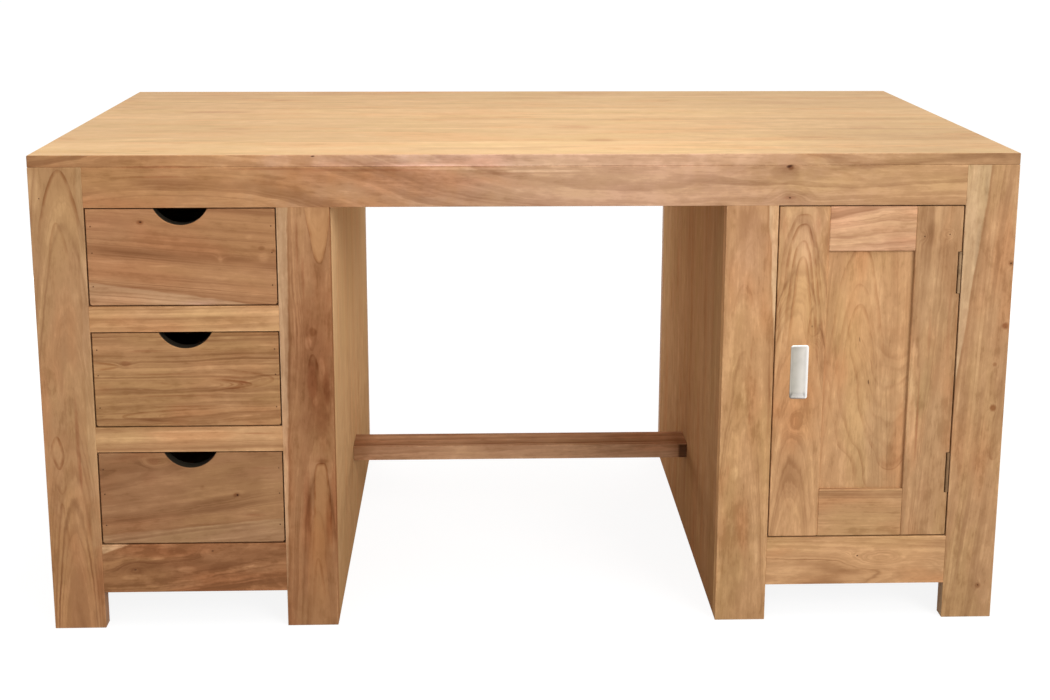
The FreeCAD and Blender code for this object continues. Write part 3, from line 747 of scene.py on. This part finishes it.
def dress_legs():
    board(
        "left_outer_front_leg", "honey", "z", (0.001, 0.04, 0), (0.01, 0.07, 0), rings=0.006, wave=0.012,
        strength=0.85, sap=(-681, 620, 1.0, -0.01), sap_share=0.25,
        arches=[(-705, 737, 36, 120, 0.9, 0.25), (-711, 655, 22, 110, 0.4, 0.15, 0.2),
                (-731, 319, 12, 36, 1, 0.2), (-729, 267, 11, -32, 0.8), (-727, 226, 10, -26, 0.4),
                (-728, 210, 10, 90, 0.45)],
        knots=[(-731, 403, 14, 30, 12, 0), (-728, 292, 12, 22, 8, 0), (-735, 695, 4, 4, 2, 0.35)],
        warmer=[(-710, 300, FAR, FAR, 0.2), (-710, 0, FAR, 450)],
        # painted shade: the dusky patch at the foot darkens the leg towards the floor
        dusky=[(-710, 0, 80, 350)],
        paler=[(-742, 705, 13, 40, 0.9, 0.6)],
        redder=[(-698, 310, 4, 90, 0.9, 0.6), (-696, 260, 3, 40, 1, 0.6), (-689, 170, 6, 40, 0.7),
                (-677, 90, 14, 100, 0.7), (-676, 450, 9, 250, 0.4)],
    )
    board(
        "left_inner_front_leg", "russet", "z", (0.02, 0.05, 0), (0.02, 0.02, 0), rings=0.006, wave=0.024,
        contrast=0.95, mottle=1.1, gloss=0.0, sap=(-370, 400, -1.0, 0.025), sap_share=1.0,
        knots=[(0, 430, FAR, 200, 12, 0)],
        arches=[(-319, 592, 26, -140, 0.6, 0.8, 0.2), (-333, 455, 12, -60, 0.4, 0, 0.5), (-332, 449, 10, 35, 1),
                (-323.5, 268.5, 16, 200, 0.9, 0.6, 0, 5), (-332.5, 200, 21, 300, 0.15, 0.35, 0, 3),
                (-331, 114, 12, 100, 0.45, 0.1)],
        redder=[(-330, 430, 60, 190, 1.3), (-318, 360, 18, 120, 0.8), (-350, 150, 12, 180, 0.5, 0.8),
                (-346, 205, 9, 70, 1, 0.8), (-313.5, 170, 8, 60, 1, 0.8), (-304, 200, 8, 120, 0.7, 0.8),
                (-322, 277, 20, 12, 0.6), (-380, 0, 25, 170, 0.9), (-334, 402, 10, 40, 1, 0.4),
                (-312, 395, 7, 35, 0.8, 0.6), (-374, 270, 6, 100, 0.7), (-352, 620, 3, 60, 0.7, 0.7),
                (-344, 570, 3, 50, 0.7, 0.7)],
        darker=[(-343, 190, 5, 80, 0.7, 0.9), (-314.5, 180, 5, 70, 0.7, 0.9), (-322, 275.5, 14, 6, 0.8, 0.8),
                (-331, 485, 8, 9, 1, 0.5)],
        warmer=[(-330, 140, 30, 120, 0.8)],
        dusky=[(-340, 400, 60, 140, 0.9)],
        paler=[(-339, 467, 7, 13, 1, 0.5), (-319, 425, 6, 22, 0.9, 0.5), (-329, 372, 6, 8, 0.5, 0.6),
               (-335, 680, 50, 50, 0.4), (-358, 500, 3, 60, 0.7, 0.7), (-340, 10, 30, 50, 0.4),
               (-340, 640, 50, 90, 0.6), (-380, 420, 12, 400, 1, 0.6)],
        greener=[(-328, 170, 14, 100, 0.6)],
    )
    board(
        "right_inner_front_leg", "golden", "z", (-0.01, 0.05, 0), (0, 0.05, 0), wave=0.03,
        contrast=0.8, mottle=1.1, gloss=0.0, sap=(366, 673, 1.0, 0.07), sap_share=1.0,
        arches=[(333, 556, 24, 90, 0.3, 0, 0.4), (336, 450, 18, 80, 0.2, 0, 0.4)],
        pinker=[(340, 620, 60, 140, 0.4)],
        paler=[(376, 610, 12, 130, 0.4, 0.5), (337, 380, 5, 24, 0.8, 0.6), (328, 250, 6, 20, 0.5, 0.7),
               (365, 120, 6, 30, 0.6, 0.7), (305, 80, 5, 50, 0.8, 0.7)],
        redder=[(347, 445, 3, 20, 0.8), (347, 345, 3, 20, 0.8), (316, 255, 3, 20, 0.7),
                (377, 340, 3, 120, 0.6)],
        # painted shade: the second dusky patch darkens the leg towards the floor
        dusky=[(340, 350, 80, 250, 0.3), (340, 0, 80, 350, 1.5)],
    )
    board(
        "right_outer_front_leg", "honey", "z", (0.07, 0.05, 0), (0.05, 0.03, 0), rings=0.009,
        contrast=0.6, mottle=1.4, sap=(709, 741, -1.0, 0.106), sap_share=0.82,
        arches=[(738, 268, 12, -24, 0.5)],
        knots=[(745.5, 588, 10, 10, 6, 0.22), (743, 489, 11, 10, 6, 0), (730, 423, 8, 8, 4, 0),
               (731, 356, 11, 13, 8, 0), (727, 55, 10, 12, 6, 0.16)],
        # painted shade: the first dusky patch darkens the leg towards the floor
        dusky=[(720, 0, 80, 300, 0.6), (692, 620, 5, 60), (700, 710, 4, 40)],
        redder=[(706, 600, 12, 140, 0.3), (680, 480, 12, 90, 0.4), (708, 270, 14, 50, 0.3)],
        paler=[(716, 570, 8, 130, 0.5), (702, 450, 10, 160, 0.5), (683, 90, 12, 100, 0.6)],
        darker=[(738, 555, 10, 30, 0.4), (735, 465, 14, 50, 0.4), (733, 390, 12, 30, 0.4, 0.7),
                (745.5, 588, 6, 7, 1, 0.6)],
        veined=[(744, 488, 8, 7, 1, 0.7), (731, 425, 5, 5, 0.7, 0.7), (732, 354, 7, 8, 1, 0.6),
                (727, 54, 7, 7, 0.7, 0.7)],
    )
    for side in ("left", "right"):
        for place in ("outer", "inner"):
            board(side + "_" + place + "_back_leg", "honey", "z", (0.01, -0.06, 0), (0.01, 0.05, 0))


def rail_end_shade(w, place, node, colour):
    """Foot rail: painted shade at its ends against the side panels, darkest in the right-hand corner below its
    top edge.
    """
    low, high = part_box(node)
    across, _, height = w.split(place)
    right = w.step(across, high.x - 0.05, high.x - 0.022)
    left = w.step(across, low.x + 0.055, low.x + 0.01)
    colour = w.dye(w.most(left, right), colour, CHANGES["darker"])
    below = w.step(height, high.z - 0.001, high.z - 0.002)
    # painted shade in the right-hand corner, on the faces below the top edge
    shaded_corner = w.times(below, w.step(across, high.x - 0.028, high.x - 0.022))
    return w.dye(shaded_corner, colour, RAIL_CORNER_SHADE)


def dress_rails():
    board(
        "left_bottom_rail", "umber", "x", (0, 0.06, 0.03), (0, 0.05, 0.03), wave=0.05, contrast=1.2, mottle=2.0,
        strength=1.4, shade=1.16, sap=(-668, 124, -0.336, 0.94), sap_share=1.0,
        knots=[(-620, 98, 25, 14, 12, 0.12), (-497, 128, 20, 12, 12, 0.14)],
        paler=[(-660, 137, 30, 12, 1, 0.4), (-656, 138, 30, 11, 0.5, 0.4), (-500, 122, 30, 12, 0.5, 0.5),
               (-540, 98, 20, 8, 1, 0.5), (-585, 118, 20, 6, 0.9, 0.5), (-620, 85, 25, 6, 0.8, 0.5),
               (-450, 100, 30, 7, 0.7, 0.5)],
        darker=[(-560, 130, 50, 8, 0.6), (-430, 125, 40, 10, 0.5)],
    )
    board(
        "right_bottom_rail", "golden", "x", (0, 0.06, -0.03), (0, 0.05, 0.02), wave=0.025, contrast=1.1,
        knots=[(564, 103, 45, 14, 30, 0.05), (528, 107, 8, 6, 4, 0.3)],
        paler=[(420, 95, 60, 25, 0.5), (510, 72, 50, 12, 0.6)],
        dusky=[(665, 100, 40, 80, 0.8)],
    )
    board(
        "upper_drawer_divider", "golden", "x", (0, 0.1, -0.08), (0, 0, 0.02), wave=0.01, contrast=1.2,
        shade=1.14,
    )
    board(
        "lower_drawer_divider", "golden", "x", (0, 0.1, 0.08), (0, 0.02, -0.02), wave=0.01, contrast=1.1,
        shade=1.06,
        redder=[(-420, 322.5, 40, 2, 0.9, 0.7)],
        paler=[(-520, 326.5, 70, 2, 0.8, 0.7), (-600, 316.5, 60, 2, 0.7, 0.7)],
    )
    board(
        "foot_rail", "rosy", "x", (0, 0.05, 0.04), (0, 0.02, 0.01), shade=0.95, gloss=0.0, painted_shade=rail_end_shade,
        greener=[(0, 160, FAR, FAR, 0.4)],
    )


def notch_shade(w, place, node, colour):
    """Finger notch: its cut edge is darkened to near black, painted shade in the hollow of the notch."""
    low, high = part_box(node)
    centre = ((low.x + high.x) / 2, 0.0, high.z - NOTCH_DEPTH + NOTCH_RADIUS)
    offset = w.vector("MULTIPLY", w.vector("SUBTRACT", place, centre), (1.0, 0.0, 1.0))
    distance = w.vector("LENGTH", offset)
    inside = w.rest(w.step(distance, NOTCH_RADIUS + 0.0004, NOTCH_RADIUS + 0.0008))
    _, depth, _ = w.split(place)
    behind = w.step(depth, low.y + 0.0012, low.y + 0.0024)
    return w.mix(w.times(inside, behind), colour, NOTCH_SHADE)


def drawer_nails(node):
    """Filled nail holes, where a drawer's front is fixed to its sides, as knots without a swell."""
    low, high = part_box(node)
    rise = high.z - low.z
    places = [
        (x, low.z + share * rise) for x in (low.x + 0.007, high.x - 0.006) for share in (0.2, 0.55, 0.82)
    ]
    return [(x / MM, z / MM, NAIL_REACH / MM, NAIL_REACH / MM, 0.0, 0.7) for x, z in places]


def drawer_front(node, tone, pith, lean, knots, **figure):
    """Front of a drawer, with its nails and its finger notch."""
    knots = knots + drawer_nails(node)
    board(node, tone, "x", pith, lean, knots=knots, painted_shade=notch_shade, **figure)


def dress_drawers():
    drawer_front(
        "top_drawer_front", "russet", (0, 0.08, 0.16), (0, 0.02, -0.09), rings=0.008, wave=0.016, shade=1.14,
        strength=0.8, sap=(-669, 567, -0.141, -1.0),
        knots=[(-586, 658, 14, 10, 6, 0.2), (-468, 601, 10, 8, -5, 0)],
        redder=[(-640, 665, 120, 40, 0.6), (-600, 557, 80, 2.5, 0.7)],
        veined=[(-586, 658, 8, 5, 0.9, 0.7), (-387, 613, 5, 5, 0.7)],
        paler=[(-560, 538, 120, 16, 0.4, 0.7), (-468, 600, 5, 6, 0.8, 0.7), (-402, 602, 12, 10, 0.7, 0.7),
               (-424, 634, 8, 5, 0.5), (-555, 590, 30, 2.5, 0.8), (-630, 598, 30, 2.5, 0.7)],
        pinker=[(-500, 532, 50, 8, 0.6)],
        darker=[(-405, 617, 7, 5, 0.8, 0.6)],
    )
    drawer_front(
        "middle_drawer_front", "drab", (0, 0.09, -0.13), (0, -0.03, 0.02), rings=0.0055, wave=0.036,
        contrast=1.25, mottle=1.0, shade=1.08, lying=True,
        arches=[(-428, 402, 11, 80, 1, 0, 0.7), (-392, 409, 20, 100, 0.7, 0, 0.4), (-631, 432, 9, 60, 0.7, 0.3),
                (-628, 352, 14, -160, 0.6, 0, 0.8), (-550, 401, 6, 30, 0.4)],
        knots=[(-618, 435, 20, 8, 5, 0), (-437, 403, 30, 14, 6, 0), (-550, 400, 50, 12, 4, 0)],
        redder=[(-440, 404, 9, 5, 1, 0.6), (-618, 436, 12, 6, 1, 0.6), (-655, 396, 22, 12, 0.7),
                (-590, 456, 40, 3, 0.8, 0.7), (-550, 384, 100, 2, 0.8, 0.7), (-520, 367, 80, 2, 0.7, 0.7),
                (-560, 419, 70, 2, 0.7, 0.7), (-460, 413, 40, 4, 0.7, 0.7)],
        paler=[(-462, 477, 18, 4, 0.7), (-405, 464, 22, 3, 0.6), (-400, 437.5, 20, 2, 0.9),
               (-598, 394.5, 8, 1.5), (-655, 414, 16, 3, 0.7), (-430, 352, 50, 5, 0.6), (-485, 400, 14, 2, 0.6),
               (-490, 430, 12, 12, 0.4), (-470, 372, 40, 14, 0.35)],
    )
    drawer_front(
        "bottom_drawer_front", "russet", (0, 0.08, 0.05), (0, 0.04, 0.08), rings=0.008, wave=0.03, shade=0.9,
        sap=(-560, 167, 0.09, -1.0), sap_share=0.5,
        knots=[(-582, 279, 20, 10, 14, 0), (-456, 221, 6, 6, 3, 0.4)],
        paler=[(-395, 250, 35, 50, 0.6), (-430, 194.5, 12, 2, 0.9), (-410, 246, 20, 2.5, 0.7)],
        redder=[(-583, 278, 14, 8, 0.8, 0.6), (-590, 250, 20, 20, 0.4), (-430, 187, 22, 4, 0.8),
                (-415, 265, 30, 2.5, 0.6), (-500, 172, 90, 2.5, 0.5)],
        veined=[(-456, 221, 7, 5, 0.8, 0.7)],
        darker=[(-510, 235, 6, 5, 0.6)],
    )
    for name in ("top_drawer", "middle_drawer", "bottom_drawer"):
        board(name + "_left_side", "birch", "y", (0.08, 0, 0.05), (0.02, 0, 0.03))
        board(name + "_right_side", "birch", "y", (-0.08, 0, 0.04), (0.02, 0, -0.03))
        board(name + "_back", "birch", "x", (0, 0.08, 0.03), (0, 0.03, 0.02))
        board(name + "_bottom", "birch", "y", (0.05, 0, -0.25), (0.02, 0, 0.02), rings=0.02, contrast=0.5)
        board(name + "_runners", "birch", "y", (0.1, 0, 0.1), (0.02, 0, 0.02))
    board("drawer_kickers", "birch", "y", (0.1, 0, 0.1), (0.02, 0, 0.02))
    board("drawer_stops", "birch", "x", (0.1, 0, 0.1), (0, 0.02, 0.02))


def dress_door():
    board(
        "door_lock_stile", "golden", "z", (-0.005, 0.05, 0), (0.01, 0.09, 0), rings=0.005, wave=0.018,
        contrast=0.9,
        arches=[(419, 662, 50, 300, 0.6, 0, 0, 2.6), (420, 643, 43, 280, 0.8, 0.1, 0, 2.6),
                (421, 620, 34, 260, 0.7, 0.1, 0, 2.4), (422, 599, 24, 220, 0.6, 0.4, 0, 2.2),
                (440, 515, 10, 100, 0.6), (417, 188, 16, -60, 0.25, 0, 0.4)],
        knots=[(440, 488, 12, 30, 10, 0.1), (421, 333, 12, 20, 10, 0)],
        paler=[(421, 530, 20, 70, 0.35), (455, 648, 6, 30, 0.8, 0.6), (393, 510, 9, 50, 0.6),
               (445, 540, 9, 50, 0.5)],
        pinker=[(420, 640, 60, 120, 0.5)],
        warmer=[(420, 380, 60, 140, 0.8)],
        redder=[(395, 600, 12, 60, 0.3), (392, 648, 9, 30, 0.8), (444, 652, 7, 25, 0.8)],
    )
    board(
        "door_hinge_stile", "honey", "z", (0.02, 0.06, 0), (0.02, 0.03, 0), wave=0.03, contrast=0.8, mottle=1.0,
        strength=1.1,
        knots=[(648, 634, 10, 8, 5, 0.2), (609, 630, 10, 10, 5, 0.16)],
        greener=[(630, 420, 90, 500, 0.4)],
        darker=[(620, 635, 20, 30, 0.7), (645, 600, 16, 50, 0.4)],
        paler=[(621, 562, 20, 30, 0.4), (603, 370, 9, 110, 0.8, 0.35), (604, 330, 8, 80, 0.35, 0.4),
               (601, 420, 8, 60, 0.5, 0.4), (640, 340, 30, 60, 0.35)],
        redder=[(613, 340, 2.5, 100, 1, 0.7), (625, 475, 4, 60, 0.7, 0.8), (655, 500, 4, 80, 0.6, 0.8),
                (630, 220, 16, 50, 0.4)],
    )
    board(
        "door_top_rail", "rosy", "x", (0, 0.06, 0.06), (0, 0.02, 0.02), rings=0.008, wave=0.07, contrast=1.2,
        shade=1.03,
        paler=[(490, 655, 40, 20, 0.5), (540, 670, 80, 12, 0.5)],
        dusky=[(570, 630, 50, 30, 0.6)],
    )
    board(
        "door_bottom_rail", "honey", "x", (0, 0.06, -0.06), (0, 0.02, -0.01), contrast=0.7,
        mottle=1.0, shade=1.04,
    )
    board(
        "door_panel", "golden", "z", (-0.012, 0.055, 0), (0.02, 0.07, 0), rings=0.009, wave=0.026,
        contrast=0.55, mottle=1.0, shade=1.03,
        arches=[(513, 606, 52, 260, 0.45, 0.15, 0, 2.4), (516, 550, 38, 190, 0.3, 0.1, 0, 2.4),
                (518, 520, 28, 130, 0.5, 0.25, 0, 2.4), (575, 255, 85, -340, 0.5, 0, 1, 2.2),
                (580, 205, 120, -360, 0.5, 0, 0, 2.2), (590, 165, 150, -380, 0.5, 0, 0, 2.2)],
        # painted shade: the dusky patch darkens the lower part of the panel
        dusky=[(530, 250, 100, 200, 0.8)],
        greener=[(560, 300, 60, 300, 0.7)],
        darker=[(566, 445, 30, 70, 0.35), (530, 440, 20, 60, 0.3)],
        paler=[(572, 340, 16, 30, 0.4)],
        knots=[(518, 465, 3, 16, 3, 0.4), (535, 395, 3, 14, 3, 0.4)],
    )


def dress_panels():
    planks(
        "left_inner_side_panel", "olive", "z", "y", SIDE_PLANK, contrast=0.2, strength=0.45, variety=0.1,
        # painted light: the pale patch at the front top lifts the shadow of the apron; painted shade: the
        # darker band and the lower dusky band towards the floor
        darker=[(0, 0, FAR, 450, 0.8)],
        paler=[(-420, 700, 250, 350, 0.8)],
        dusky=[(-400, 300, 300, 250, 0.5), (0, 0, FAR, 300, 0.8)],
    )
    planks(
        "right_inner_side_panel", "honey", "z", "y", SIDE_PLANK, contrast=0.35, strength=0.7, variety=0.2,
        # painted shade and painted light: darker towards the floor and at the front, paler at the back
        darker=[(0, 0, FAR, 450, 0.8)],
        dusky=[(-400, 400, 250, FAR, 0.8)],
        paler=[(400, 400, 450, FAR, 0.9)],
    )
    for side in ("left", "right"):
        planks(side + "_outer_side_panel", "honey", "z", "y", SIDE_PLANK, contrast=0.5)
        planks(side + "_back_panel", "honey", "z", "x", BACK_PLANK, contrast=0.5)
    planks("cupboard_floor", "birch", "x", "y", SHELF_PLANK)
    planks("cupboard_shelf", "honey", "x", "y", SHELF_PLANK)
    board("shelf_cleats", "birch", "y", (0.1, 0, 0.1))


def metal(name, colour, roughness, dressed, tarnish, scratch=(40.0, 40.0, 40.0), shade=None):
    """Plain metal with fine brush marks and a little tarnish."""
    finish, w, shader, place = new_finish(name)
    marks, _ = w.noise(place, scratch, 3.0, 0.6)
    cloud, _ = w.noise(place, (60.0, 60.0, 60.0))
    stained = tuple(c * (1.0 - tarnish) for c in colour[:3]) + (1.0,)
    surface = w.mix(w.step(cloud, 0.45, 0.75), colour, stained)
    # painted light and shade of the pull, where given
    if shade:
        surface = shade(w, place, surface)
    w.feed(shader.inputs["Base Color"], surface)
    rough = w.plus(roughness - 0.08, w.times(marks, 0.16))
    w.feed(shader.inputs["Roughness"], w.plus(rough, w.times(cloud, 0.08)))
    shader.inputs["Metallic"].default_value = 1.0
    roughen(w, shader, marks, 0.1, 0.0002)
    for node in dressed:
        put_on(node, finish)
    return finish


def select_only(piece, kind, wanted):
    """In edit mode, selects only those faces or edges of a piece that are wanted."""
    bpy.ops.mesh.select_mode(type=kind)
    bpy.ops.mesh.select_all(action="DESELECT")
    bpy.ops.object.mode_set(mode="OBJECT")
    for part in piece.data.polygons if kind == "FACE" else piece.data.edges:
        part.select = bool(wanted(part))
    bpy.ops.object.mode_set(mode="EDIT")


def start_block(name, low, high):
    """Plain block between two corners, left in edit mode with all of it selected."""
    bpy.ops.object.select_all(action="DESELECT")
    bpy.ops.mesh.primitive_cube_add(size=1.0, location=(0, 0, 0))
    piece = bpy.context.object
    piece.name = name
    bpy.ops.object.mode_set(mode="EDIT")
    bpy.ops.mesh.select_all(action="SELECT")
    bpy.ops.transform.resize(value=high - low)
    bpy.ops.transform.translate(value=(low + high) / 2)
    return piece


def pull_shade(w, place, colour):
    """Pull: painted reflection that is darker on the side where fingers go in, painted shade towards the
    bottom, and a painted highlight on the rim on the other side and above.
    """
    low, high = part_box("door_pull")
    across, _, height = w.split(place)
    colour = w.dye(w.step(across, high.x - 0.002, low.x + 0.004), colour, PAINTED_DARK_REFLECTION)
    colour = w.dye(w.step(height, low.z + 0.013, low.z + 0.004), colour, PAINTED_DISH_SHADE)
    highlight_side = w.step(across, high.x - 0.0045, high.x - 0.002)
    highlight_top = w.step(height, high.z - 0.004, high.z - 0.0015)
    return w.mix(w.most(highlight_side, highlight_top), colour, PAINTED_RIM_HIGHLIGHT)


def make_pull():
    """Flush pull: a rounded plate with a shallow dish for the fingers."""
    low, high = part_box("door_pull")
    piece = start_block("finger_pull", low, high)

    def runs_through(edge):
        first, second = (piece.data.vertices[end].co.y for end in edge.vertices)
        return abs(first - second) > 0.001

    select_only(piece, "EDGE", runs_through)
    bpy.ops.mesh.bevel(offset=PULL_CORNER, segments=6, profile=0.5)
    select_only(piece, "FACE", lambda face: face.normal.y < -0.9)
    bpy.ops.mesh.inset(thickness=PULL_RIM)
    for drop, width, height in DISH_RINGS:
        bpy.ops.mesh.extrude_region_move(TRANSFORM_OT_translate={"value": (0, drop, 0)})
        bpy.ops.transform.resize(value=(width, 1.0, height))
    bpy.ops.object.mode_set(mode="OBJECT")
    bevel = piece.modifiers.new("soft edges", "BEVEL")
    bevel.width = PULL_EDGE
    bevel.segments = 3
    bevel.limit_method = "ANGLE"
    bevel.angle_limit = math.radians(25)
    bpy.ops.object.modifier_apply(modifier=bevel.name)
    bpy.ops.object.shade_smooth_by_angle(angle=math.radians(40))
    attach(piece, "door")
    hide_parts("door_pull")
    return piece


def dress_fittings():
    nickel = metal(
        "satin nickel", NICKEL, 0.42, ["door_pull"], 0.08, (900.0, 900.0, 60.0), shade=pull_shade
    )
    make_pull().data.materials.append(nickel)
    plated = [
        "upper_hinge_frame_leaf", "upper_hinge_door_leaf", "hinge_pins", "hinge_frame_screws",
        "hinge_door_screws", "strike_plate",
    ]
    metal("dull plated steel", PLATED_STEEL, 0.45, plated, 0.4)
    browned = ["lower_hinge_frame_leaf", "lower_hinge_door_leaf"]
    metal("browned steel", BROWNED_STEEL, 0.5, browned, 0.4)
    finish, w, shader, place = new_finish("brown moulded plastic")
    grit, _ = w.noise(place, (700.0, 700.0, 700.0))
    w.feed(shader.inputs["Base Color"], w.mix(grit, DARK_PLASTIC, LIGHT_PLASTIC))
    w.feed(shader.inputs["Roughness"], w.plus(0.42, w.times(grit, 0.2)))
    roughen(w, shader, grit, 0.2, 0.0002)
    put_on("magnet_catch", finish)


def seen_plainly(w):
    """One on what the camera sees, straight, mirrored or through something clear."""
    rays = w.node("ShaderNodeLightPath").outputs
    return w.most(w.most(rays["Is Camera Ray"], rays["Is Glossy Ray"]), rays["Is Transmission Ray"])


def make_floor():
    """Pale studio floor that shows white to the camera and keeps the shadow of the desk."""
    bpy.ops.object.select_all(action="DESELECT")
    bpy.ops.mesh.primitive_plane_add(size=FLOOR_SIZE, location=(0, 0, -FLOOR_DROP))
    floor = bpy.context.object
    floor.name = "studio_floor"
    finish = bpy.data.materials.new("studio floor")
    w = empty_wiring(finish)
    paint = w.node("ShaderNodeBsdfDiffuse", {"Color": FLOOR_GREY})
    glow = w.node("ShaderNodeEmission", {"Color": WHITE, "Strength": FLOOR_GLOW})
    blend = w.node("ShaderNodeMixShader", {"Fac": w.times(seen_plainly(w), FLOOR_GLOW_SHARE)})
    w.feed(blend.inputs[1], paint.outputs[0])
    w.feed(blend.inputs[2], glow.outputs[0])
    w.node("ShaderNodeOutputMaterial", {"Surface": blend.outputs[0]})
    floor.data.materials.append(finish)


def make_world():
    """Soft white room light; the background itself is white."""
    world = bpy.data.worlds.new("studio")
    bpy.context.scene.world = world
    w = empty_wiring(world)
    strength = w.plus(ROOM_LIGHT, w.times(seen_plainly(w), 1.0 - ROOM_LIGHT))
    background = w.node("ShaderNodeBackground", {"Color": WHITE, "Strength": strength})
    w.node("ShaderNodeOutputWorld", {"Surface": background.outputs[0]})


def softbox(name, place, target, size, energy):
    bpy.ops.object.light_add(type="AREA", location=place)
    lamp = bpy.context.object
    lamp.name = name
    lamp.data.shape = "RECTANGLE"
    lamp.data.size, lamp.data.size_y = size
    lamp.data.energy = energy
    lamp.rotation_euler = (Vector(target) - Vector(place)).to_track_quat("-Z", "Y").to_euler()
    lamp.visible_camera = False


def make_lights():
    make_world()
    softbox("overhead_softbox", (0.1, -0.8, 3.0), (0, 0, 0.7), (2.6, 2.0), 22.0)
    softbox("key_softbox", (2.2, -3.3, 2.2), (0, 0, 0.4), (1.8, 1.6), 80.0)
    for side in (-1, 1):
        softbox("back_softbox", (side * 1.2, 2.2, 0.35), (side * -0.3, 0.1, 0.35), (0.9, 0.6), 17.0)


def make_camera():
    bpy.ops.object.camera_add(location=CAMERA_PLACE)
    camera = bpy.context.object
    camera.name = "photo_camera"
    aim = Euler((math.radians(90.0 - CAMERA_PITCH), 0.0, math.radians(-CAMERA_YAW))).to_matrix()
    camera.rotation_euler = (aim @ Matrix.Rotation(math.radians(CAMERA_ROLL), 3, "Z")).to_euler()
    camera.data.sensor_width = SENSOR_WIDTH
    camera.data.lens = FOCAL_PIXELS / PICTURE_WIDTH * SENSOR_WIDTH
    camera.data.shift_y = (HORIZON_CENTRE - PICTURE_HEIGHT / 2) / PICTURE_WIDTH
    bpy.context.scene.camera = camera


dress_top()
dress_aprons()
dress_legs()
dress_rails()
dress_drawers()
dress_door()
dress_panels()
dress_fittings()
make_floor()
make_lights()
make_camera()
bpy.context.scene.view_settings.view_transform = "Standard"
